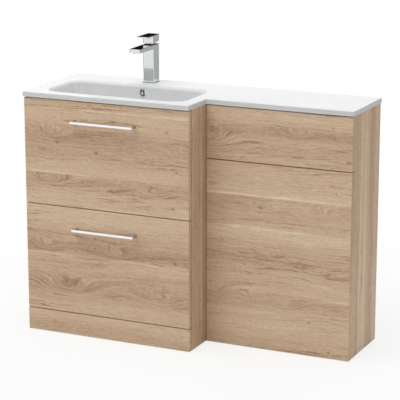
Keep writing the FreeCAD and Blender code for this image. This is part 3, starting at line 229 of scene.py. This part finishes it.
def oak(name, grain, low, high, tones, seams, swirls, knots, seed):
    """Light oak print of one board, whose limits across the grain are low and high.

    tones are (across, lightness) pairs from the bottom up, seams (across, from, to) plank edges with a
    pale streak, swirls (along, across, size) places that the grain bends round, knots small dark ones.
    """
    graph = Graph(name)
    along, across, ends = grain_places(graph, grain)

    def share(place):
        return (place - low) / (high - low)

    height = graph.fit(across, low, high)
    edges = [(0.0, 0.0)] + [(share(seam[0]), PLANK_SHARE * rank) for rank, seam in enumerate(seams, 1)]
    which = graph.ramp(height, edges, "CONSTANT")
    plank = graph.math("MULTIPLY_ADD", which, PLANK_STEP / PLANK_SHARE, seed)
    sway = streaks(graph, along, across, plank, 2.4, 9.0, 1.0)
    ripple = streaks(graph, along, across, graph.math("ADD", plank, 2.0), 17.0, 50.0, 2.0)
    bent = graph.total(across, graph.swing(sway, SWAY), graph.swing(ripple, RIPPLE))
    for swirl in swirls:
        size = swirl[2]
        hill = bell(graph, along, across, swirl[:2], SWIRL_LENGTH * size, size)
        bent = graph.math("MULTIPLY_ADD", hill, SWIRL_BEND * size, bent)

    def layer(kind):
        number, along_scale, across_scale, detail = OAK_LAYERS[kind]
        where = graph.math("ADD", plank, number)
        return streaks(graph, along, bent, where, along_scale, across_scale, detail)

    fibre = layer("fibre")
    contour = graph.math("ABSOLUTE", graph.math("SUBTRACT", layer("contour"), 0.5))
    lines = graph.fit(contour, 0.0, 0.035, 1.0, 0.0)
    figured = graph.fit(layer("figure"), 0.40, 0.60)
    broken = graph.fit(layer("breaks"), 0.35, 0.60)
    lines = graph.math("MULTIPLY", graph.math("MULTIPLY", lines, figured), broken)
    pores = graph.fit(layer("pores"), 0.58, 0.70)

    level = graph.total(
        graph.ramp(height, [(share(place), tone) for place, tone in tones]),
        graph.swing(layer("growth"), GROWTH_SWING), graph.swing(fibre, FIBRE_SWING),
        graph.swing(layer("speckle"), SPECKLE_SWING), graph.math("MULTIPLY", lines, LINE_LEVEL),
        graph.math("MULTIPLY", pores, PORE_LEVEL), graph.math("MULTIPLY", ends, END_LEVEL))
    for knot in knots:
        size = knot[2]
        heart = bell(graph, along, across, knot[:2], KNOT_LENGTH * size, size)
        level = graph.math("MULTIPLY_ADD", heart, KNOT_LEVEL, level)
    for seam in seams:
        level = graph.math("MULTIPLY_ADD", pale_streak(graph, along, across, seam), SEAM_LEVEL, level)

    rosy = graph.fit(layer("rosiness"), 0.38, 0.62)
    colour = graph.blend(rosy, graph.ramp(level, OAK_COLOURS), ROSY_TINT, "MULTIPLY")
    relief = graph.math("SUBTRACT", fibre, graph.math("MULTIPLY", pores, 0.8))
    return graph.surface({
        "Base Color": colour,
        "Roughness": graph.spread(fibre, 0.46, 0.58),
        "Specular IOR Level": 0.22,
        "Normal": graph.bump(relief, 0.12, 0.0003),
    })


# Each board's grain, tones, pale seams, swirls and knots, in metres
OAK_BOARDS = {
    "upper_drawer_front": dict(
        grain="level",
        # The tones fall toward the top edge, under the slab: painted shade of its overhang.
        tones=[(0.443, 0.68), (0.490, 0.60), (0.530, 0.36), (0.551, 0.46), (0.553, 0.58), (0.575, 0.60),
               (0.615, 0.44), (0.675, 0.36), (0.700, 0.42), (0.730, 0.58), (0.772, 0.59), (0.782, 0.50),
               (0.797, 0.44)],
        seams=[(0.552, -0.550, -0.300), (0.768, -0.350, 0.050)],
        swirls=[(-0.465, 0.529, 0.022), (-0.443, 0.684, 0.024), (-0.208, 0.537, 0.012),
                (-0.078, 0.521, 0.016)],
        knots=[(-0.427, 0.657, 0.004), (-0.284, 0.633, 0.004), (-0.029, 0.722, 0.003), (0.006, 0.595, 0.003),
               (-0.009, 0.475, 0.004)]),
    "lower_drawer_front": dict(
        grain="level",
        tones=[(0.080, 0.60), (0.140, 0.48), (0.158, 0.34), (0.210, 0.45), (0.270, 0.56), (0.277, 0.58),
               (0.279, 0.38), (0.300, 0.30), (0.325, 0.34), (0.350, 0.43), (0.400, 0.65), (0.440, 0.68)],
        seams=[(0.276, -0.550, -0.360), (0.277, -0.220, 0.050)],
        swirls=[(-0.479, 0.300, 0.020), (-0.394, 0.161, 0.034), (-0.062, 0.168, 0.022),
                (-0.211, 0.300, 0.018)],
        knots=[(-0.292, 0.346, 0.003), (0.000, 0.293, 0.004)]),
    "vanity_plinth": dict(
        grain="level", tones=[(0.002, 0.44), (0.050, 0.54), (0.077, 0.70)], seams=[], swirls=[], knots=[]),
    "wc_lower_panel": dict(
        grain="level",
        tones=[(0.002, 0.50), (0.085, 0.70), (0.125, 0.63), (0.160, 0.41), (0.190, 0.50), (0.205, 0.67),
               (0.265, 0.55), (0.305, 0.41), (0.345, 0.56), (0.385, 0.73), (0.405, 0.74), (0.407, 0.62),
               (0.480, 0.49), (0.511, 0.48), (0.513, 0.72), (0.560, 0.64), (0.620, 0.50)],
        seams=[(0.192, 0.470, 0.560), (0.406, 0.130, 0.400), (0.512, 0.050, 0.550)],
        swirls=[(0.242, 0.474, 0.016), (0.335, 0.155, 0.020), (0.082, 0.180, 0.020), (0.219, 0.177, 0.016),
                (0.430, 0.472, 0.020)],
        knots=[(0.242, 0.477, 0.004), (0.413, 0.114, 0.003), (0.499, 0.548, 0.003), (0.482, 0.022, 0.003)]),
    "wc_access_panel": dict(
        grain="level",
        tones=[(0.623, 0.52), (0.675, 0.42), (0.690, 0.50), (0.715, 0.32), (0.745, 0.40), (0.770, 0.62),
               (0.797, 0.62)],
        seams=[], swirls=[(0.067, 0.690, 0.024), (0.365, 0.725, 0.016)],
        knots=[(0.485, 0.758, 0.003), (0.537, 0.652, 0.004)]),
    "vanity_left_side": dict(
        grain="upright", tones=[(-0.157, 0.55), (-0.040, 0.42), (0.089, 0.45), (0.091, 0.62)],
        seams=[(0.090, 0.0, 0.8)], swirls=[(0.320, 0.020, 0.020)], knots=[(0.610, -0.090, 0.004)]),
    "vanity_right_side": dict(
        grain="upright",
        # Its tones fall toward the back, where the side meets the WC unit: painted shade of that inner
        # corner.
        tones=[(-0.157, 0.46), (-0.091, 0.42), (-0.089, 0.46), (-0.050, 0.26), (0.060, 0.26)],
        seams=[(-0.090, 0.1, 0.7)], swirls=[(0.360, -0.060, 0.012)], knots=[]),
    "wc_right_side": dict(
        grain="upright",
        tones=[(-0.0285, 0.40), (0.035, 0.42), (0.037, 0.60), (0.090, 0.60), (0.130, 0.36), (0.150, 0.38),
               (0.180, 0.58), (0.208, 0.50)],
        seams=[(0.036, 0.0, 0.8), (0.080, 0.0, 0.8)], swirls=[(0.208, 0.142, 0.012), (0.520, 0.135, 0.012)],
        knots=[(0.208, 0.142, 0.004)]),
}


# Other finishes
WEAVE = 2200.0  # radians of the linen weave's waves to the metre
BAR_BACK = -0.2005  # where along Y the bar of a handle ends
POST_SHADE_START = -0.1995  # where along Y each handle post has its full painted shade


def cast_marble():
    graph = Graph("cast_marble")
    place = graph.place.outputs["Object"]
    cloud = graph.noise(place, scale=9.0, detail=3.0)
    peel = graph.noise(place, scale=240.0)
    return graph.surface({
        "Base Color": graph.ramp(cloud, [(0.3, srgb(209, 210, 211)), (0.7, srgb(213, 213, 213))]),
        "Roughness": graph.spread(peel, 0.16, 0.22),
        "Specular IOR Level": 0.36,
        "Normal": graph.bump(peel, 0.02, 0.0004),
    })


def melamine(name, pale, dark, weave):
    """Matt board facing with a fine pearl grain, woven like linen if asked for."""
    graph = Graph(name)
    place = graph.place.outputs["Object"]
    pearl = graph.noise(place, scale=900.0)
    relief = pearl
    shade = graph.noise(place, scale=14.0, detail=4.0)
    if weave:
        threads = [graph.math("SINE", graph.math("MULTIPLY", part, WEAVE)) for part in graph.split(place)]
        cloth = graph.math("MULTIPLY", graph.math("ADD", threads[0], threads[2]), threads[1])
        cloth = graph.fit(cloth, -1.5, 1.5)
        shade = graph.choose(0.5, shade, cloth)
        relief = graph.choose(0.6, pearl, cloth)
    return graph.surface({
        "Base Color": graph.ramp(shade, [(0.25, dark), (0.75, pale)]),
        "Roughness": graph.spread(pearl, 0.46, 0.60),
        "Specular IOR Level": 0.4,
        "Normal": graph.bump(relief, 0.15, 0.0002),
    })


def chrome(name, pale, dark, shaded_posts=None):
    """Bright metal with faint smears; where asked for, each handle post from the bar back gets a darker
    colour as painted shade, and a rougher finish.
    """
    graph = Graph(name)
    place = graph.place.outputs["Object"]
    smears = graph.noise(place, scale=30.0, detail=4.0)
    colour = graph.ramp(smears, [(0.3, dark), (0.7, pale)])
    roughness = graph.spread(smears, 0.03, 0.07)
    if shaded_posts:
        post_shading = graph.fit(graph.split(place)[1], BAR_BACK, POST_SHADE_START)
        colour = graph.blend(post_shading, colour, shaded_posts)
        roughness = graph.choose(post_shading, roughness, 0.16)
    return graph.surface({"Base Color": colour, "Metallic": 1.0, "Roughness": roughness})


def zinc():
    graph = Graph("zinc_steel")
    rolled = graph.drawn_noise(500.0, 12.0, 500.0)
    spangle = graph.add("ShaderNodeTexVoronoi", {"Vector": graph.place.outputs["Object"], "Scale": 220.0})
    flake = graph.split(spangle.outputs["Color"])[0]
    tone = graph.choose(0.4, rolled, flake)
    return graph.surface({
        "Base Color": graph.ramp(tone, [(0.2, srgb(168, 171, 174)), (0.8, srgb(202, 204, 206))]),
        "Metallic": 1.0,
        "Roughness": graph.spread(rolled, 0.28, 0.44),
        "Normal": graph.bump(rolled, 0.06, 0.0002),
    })


def brass():
    graph = Graph("brass")
    turned = graph.drawn_noise(40.0, 40.0, 1800.0)
    return graph.surface({
        "Base Color": graph.ramp(turned, [(0.3, srgb(196, 160, 92)), (0.7, srgb(222, 190, 120))]),
        "Metallic": 1.0,
        "Roughness": graph.spread(turned, 0.24, 0.38),
        "Normal": graph.bump(turned, 0.08, 0.0002),
    })


# Near-black brass for the cartridge nut: painted shade that stands in for the dark gap under the lever.
def shadow_dark_brass():
    graph = Graph("shadow_dark_brass")
    mottle = graph.noise(graph.place.outputs["Object"], scale=160.0, detail=4.0)
    return graph.surface({
        "Base Color": graph.ramp(mottle, [(0.3, srgb(44, 40, 36)), (0.7, srgb(62, 57, 50))]),
        "Metallic": 1.0,
        "Roughness": graph.spread(mottle, 0.35, 0.50),
    })


def moulded(name, pale, dark, low_roughness, high_roughness):
    """Plastic or rubber with the fine grain and faint clouding of a moulding."""
    graph = Graph(name)
    place = graph.place.outputs["Object"]
    cloud = graph.noise(place, scale=45.0, detail=3.0)
    spark = graph.noise(place, scale=1500.0)
    return graph.surface({
        "Base Color": graph.ramp(cloud, [(0.25, dark), (0.75, pale)]),
        "Roughness": graph.spread(spark, low_roughness, high_roughness),
        "Normal": graph.bump(spark, 0.1, 0.0001),
    })


FINISHES = {
    "white_melamine": melamine("white_melamine", srgb(236, 236, 233), srgb(228, 228, 225), weave=False),
    "grey_melamine": melamine("grey_melamine", srgb(196, 195, 192), srgb(166, 165, 162), weave=True),
    "chrome": chrome("chrome", srgb(226, 227, 228), srgb(219, 220, 221)),
    "zinc_steel": zinc(),
    "brass": brass(),
    "rubber": moulded("rubber", srgb(46, 46, 47), srgb(34, 34, 35), 0.55, 0.75),
    "white_plastic": moulded("white_plastic", srgb(238, 238, 236), srgb(230, 230, 228), 0.24, 0.34),
    "grey_plastic": moulded("grey_plastic", srgb(132, 134, 138), srgb(116, 118, 122), 0.42, 0.56),
    "cast_marble": cast_marble(),
}
BRIGHT = (srgb(248, 248, 251), srgb(243, 243, 247))
# The darker colour given for each handle post is painted shade.
HANDLE_CHROME = chrome("handle_chrome", *BRIGHT, shaded_posts=srgb(192, 189, 182))
SPECIAL_FINISHES = {
    # The cartridge nut's near-black colour is painted shade of the gap under the lever.
    "tap_cartridge_nut": shadow_dark_brass(),
    "tap_gasket": FINISHES["grey_plastic"],
    "upper_drawer_handle": HANDLE_CHROME,
    "lower_drawer_handle": HANDLE_CHROME,
    "overflow_ring": chrome("bright_chrome", *BRIGHT),
}


# Edges: widths of their rounding by slot, and the angles from which an edge is crisp and is rounded
EDGE_WIDTHS = {"oak_laminate": 0.0005, "grey_melamine": 0.0006, "chrome": 0.0006}
CRISP_ANGLE = math.radians(32)
ROUNDED_ANGLE = math.radians(50)
WELD_REACH = 0.00001


def smooth_by_angle(limit):
    """A node group that shades gentle bends smooth and keeps sharper edges crisp."""
    group = bpy.data.node_groups.new("smooth_by_angle", "GeometryNodeTree")
    group.interface.new_socket("Geometry", in_out="INPUT", socket_type="NodeSocketGeometry")
    group.interface.new_socket("Geometry", in_out="OUTPUT", socket_type="NodeSocketGeometry")
    start = group.nodes.new("NodeGroupInput")
    end = group.nodes.new("NodeGroupOutput")
    faces = group.nodes.new("GeometryNodeSetShadeSmooth")
    edges = group.nodes.new("GeometryNodeSetShadeSmooth")
    edges.domain = "EDGE"
    angle = group.nodes.new("GeometryNodeInputMeshEdgeAngle")
    gentle = group.nodes.new("FunctionNodeCompare")
    gentle.operation = "LESS_THAN"
    gentle.inputs[1].default_value = limit
    group.links.new(angle.outputs["Unsigned Angle"], gentle.inputs[0])
    group.links.new(gentle.outputs[0], edges.inputs["Shade Smooth"])
    group.links.new(start.outputs[0], faces.inputs["Geometry"])
    group.links.new(faces.outputs[0], edges.inputs["Geometry"])
    group.links.new(edges.outputs[0], end.inputs[0])
    return group


SMOOTH = smooth_by_angle(CRISP_ANGLE)


def soften(thing, slot):
    """Round a node's edges where its slot asks for it, and shade its bends smooth, by modifiers alone."""
    weld = thing.modifiers.new("weld", "WELD")
    weld.merge_threshold = WELD_REACH
    if slot in EDGE_WIDTHS:
        bevel = thing.modifiers.new("bevel", "BEVEL")
        bevel.width = EDGE_WIDTHS[slot]
        bevel.segments = 2
        bevel.limit_method = "ANGLE"
        bevel.angle_limit = ROUNDED_ANGLE
    smooth = thing.modifiers.new("smooth", "NODES")
    smooth.node_group = SMOOTH
    even = thing.modifiers.new("even", "WEIGHTED_NORMAL")
    even.keep_sharp = True


def dress():
    """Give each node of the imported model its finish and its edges."""
    slots = {part["node"]: part["material_slot"] for part in frame["record"]["subparts"]}
    for rank, (name, thing) in enumerate(sorted(nodes.items())):
        if name in OAK_BOARDS:
            low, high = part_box(name)
            axis = 2 if OAK_BOARDS[name]["grain"] == "level" else 1
            finish = oak(f"oak_{name}", low=low[axis], high=high[axis], seed=BOARD_STEP * rank,
                         **OAK_BOARDS[name])
        else:
            finish = SPECIAL_FINISHES.get(name, FINISHES[slots[name]])
        thing.data.materials.clear()
        thing.data.materials.append(finish)
        soften(thing, slots[name])


dress()


# Floor and background
def white_rays(tree):
    """1 for rays from the camera and for rays that show in metal or through glass."""
    path = tree.nodes.new("ShaderNodeLightPath")
    result = path.outputs["Is Camera Ray"]
    for kind in ("Is Glossy Ray", "Is Transmission Ray"):
        either = tree.nodes.new("ShaderNodeMath")
        either.operation = "MAXIMUM"
        tree.links.new(result, either.inputs[0])
        tree.links.new(path.outputs[kind], either.inputs[1])
        result = either.outputs[0]
    return result


FLOOR_SIZE = 40.0
FLOOR_COLOUR = (0.82, 0.82, 0.82, 1.0)
WHITE = (1.0, 1.0, 1.0, 1.0)
SHADOW_REACH = 0.6
WHITE_REACH = 1.7
NEAR_GLOW = 0.8
AMBIENT = 0.34


def floor():
    """A pale floor that keeps the shadow near the object and turns white further out."""
    bpy.ops.mesh.primitive_plane_add(size=FLOOR_SIZE)
    plane = bpy.context.object
    plane.name = "floor"
    material = bpy.data.materials.new("floor")
    material.use_nodes = True
    tree = material.node_tree
    tree.nodes.clear()
    diffuse = tree.nodes.new("ShaderNodeBsdfDiffuse")
    diffuse.inputs["Color"].default_value = FLOOR_COLOUR
    glow = tree.nodes.new("ShaderNodeEmission")
    place = tree.nodes.new("ShaderNodeTexCoord")
    distance = tree.nodes.new("ShaderNodeVectorMath")
    distance.operation = "LENGTH"
    tree.links.new(place.outputs["Object"], distance.inputs[0])
    fade = tree.nodes.new("ShaderNodeMapRange")
    fade.interpolation_type = "SMOOTHSTEP"
    for socket, value in zip(fade.inputs[1:5], (SHADOW_REACH, WHITE_REACH, NEAR_GLOW, 1.0)):
        socket.default_value = value
    tree.links.new(distance.outputs["Value"], fade.inputs["Value"])
    seen = tree.nodes.new("ShaderNodeMath")
    seen.operation = "MULTIPLY"
    tree.links.new(fade.outputs[0], seen.inputs[1])
    tree.links.new(white_rays(tree), seen.inputs[0])
    mix = tree.nodes.new("ShaderNodeMixShader")
    tree.links.new(seen.outputs[0], mix.inputs[0])
    tree.links.new(diffuse.outputs[0], mix.inputs[1])
    tree.links.new(glow.outputs[0], mix.inputs[2])
    output = tree.nodes.new("ShaderNodeOutputMaterial")
    tree.links.new(mix.outputs[0], output.inputs["Surface"])
    plane.data.materials.append(material)


def background():
    """Even light from all round, which the camera and reflections see as plain white."""
    world = bpy.data.worlds.new("studio")
    world.use_nodes = True
    scene.world = world
    tree = world.node_tree
    tree.nodes.clear()
    lit = tree.nodes.new("ShaderNodeBackground")
    lit.inputs["Color"].default_value = WHITE
    lit.inputs["Strength"].default_value = AMBIENT
    white = tree.nodes.new("ShaderNodeBackground")
    white.inputs["Color"].default_value = WHITE
    mix = tree.nodes.new("ShaderNodeMixShader")
    tree.links.new(white_rays(tree), mix.inputs[0])
    tree.links.new(lit.outputs[0], mix.inputs[1])
    tree.links.new(white.outputs[0], mix.inputs[2])
    output = tree.nodes.new("ShaderNodeOutputWorld")
    tree.links.new(mix.outputs[0], output.inputs["Surface"])


# Light
def softbox(name, place, target, width, height, power):
    """A rectangular lamp that faces its target; the power is in watts."""
    lamp = bpy.data.lights.new(name, "AREA")
    lamp.shape = "RECTANGLE"
    lamp.size = width
    lamp.size_y = height
    lamp.energy = power
    box = bpy.data.objects.new(name, lamp)
    box.location = place
    box.rotation_euler = (Vector(target) - Vector(place)).to_track_quat("-Z", "Y").to_euler()
    scene.collection.objects.link(box)
    return box


floor()
background()
softbox("key", place=(-0.85, -2.3, 3.7), target=(0, 0, 0.6), width=1.3, height=1.3, power=14)
softbox("top", place=(-0.7, -0.9, 3.4), target=(-0.1, -0.05, 0.6), width=3.6, height=3.0, power=92)
softbox("side", place=(3.6, 0.7, 1.5), target=(0.5, 0.1, 0.5), width=1.6, height=2.0, power=18)
rear = softbox("rear", place=(0.1, 2.4, 3.0), target=(-0.1, 0, 0.7), width=1.6, height=1.2, power=32)
rear.visible_glossy = False


def dark_card(name, place, turn, width, height, shade):
    """A studio card that only shows as a reflection, level until it is turned; shade 0 is black."""
    bpy.ops.mesh.primitive_plane_add(size=1.0, location=place, rotation=turn)
    card = bpy.context.object
    card.name = name
    card.scale = (width, height, 1.0)
    card.visible_camera = False
    card.visible_diffuse = False
    card.visible_shadow = False
    card.visible_transmission = False
    material = bpy.data.materials.new(name)
    material.use_nodes = True
    tree = material.node_tree
    tree.nodes.clear()
    glow = tree.nodes.new("ShaderNodeEmission")
    glow.inputs["Color"].default_value = (shade, shade, shade, 1.0)
    output = tree.nodes.new("ShaderNodeOutputMaterial")
    tree.links.new(glow.outputs[0], output.inputs["Surface"])
    card.data.materials.append(material)


LEVEL = (0, 0, 0)
FACING_FRONT = (math.pi / 2, 0, 0)
FACING_SIDE = (math.pi / 2, 0, math.pi / 2)
SLOPING_BACK = (math.radians(-17), 0, 0)
TAP_X = -0.25
SIDE_DISTANCE = 1.55
FLOOR_DISTANCE = 8.6
dark_card("rear_card", (TAP_X, 0.45, 1.155), FACING_FRONT, width=0.80, height=0.38, shade=0.01)
dark_card("upper_card", (-0.40, -0.02, 1.50), SLOPING_BACK, width=1.10, height=0.98, shade=0.10)
dark_card("rear_floor_card", (0.0, 9.0, 0.02), LEVEL, width=32.0, height=16.0, shade=0.50)
for side, sign, front, back in (("left", -1, -1.20, 0.56), ("right", 1, -0.44, 0.99)):
    on_floor = (FLOOR_DISTANCE * sign, -1.0, 0.02)
    dark_card(f"{side}_floor_card", on_floor, LEVEL, width=14.8, height=4.0, shade=0.50)
    upright = (TAP_X + SIDE_DISTANCE * sign, (front + back) / 2, 0.62)
    dark_card(f"{side}_card", upright, FACING_SIDE, width=back - front, height=0.65, shade=0.02)


# Camera at the photograph's viewing angle
AZIMUTH = math.radians(24.977)
ELEVATION = math.radians(13.974)
EYE = (2.3468, -5.0255, 1.8468)
LENS = 156.55
SENSOR_WIDTH = 36.0
FAR_LIMIT = 100.0


def camera():
    lens = bpy.data.cameras.new("camera")
    lens.lens = LENS
    lens.sensor_width = SENSOR_WIDTH
    lens.clip_end = FAR_LIMIT
    eye = bpy.data.objects.new("camera", lens)
    back = Vector((math.sin(AZIMUTH) * math.cos(ELEVATION), -math.cos(AZIMUTH) * math.cos(ELEVATION),
                   math.sin(ELEVATION)))
    eye.location = EYE
    eye.rotation_euler = (-back).to_track_quat("-Z", "Y").to_euler()
    scene.collection.objects.link(eye)
    scene.camera = eye


camera()
scene.view_settings.view_transform = "Standard"
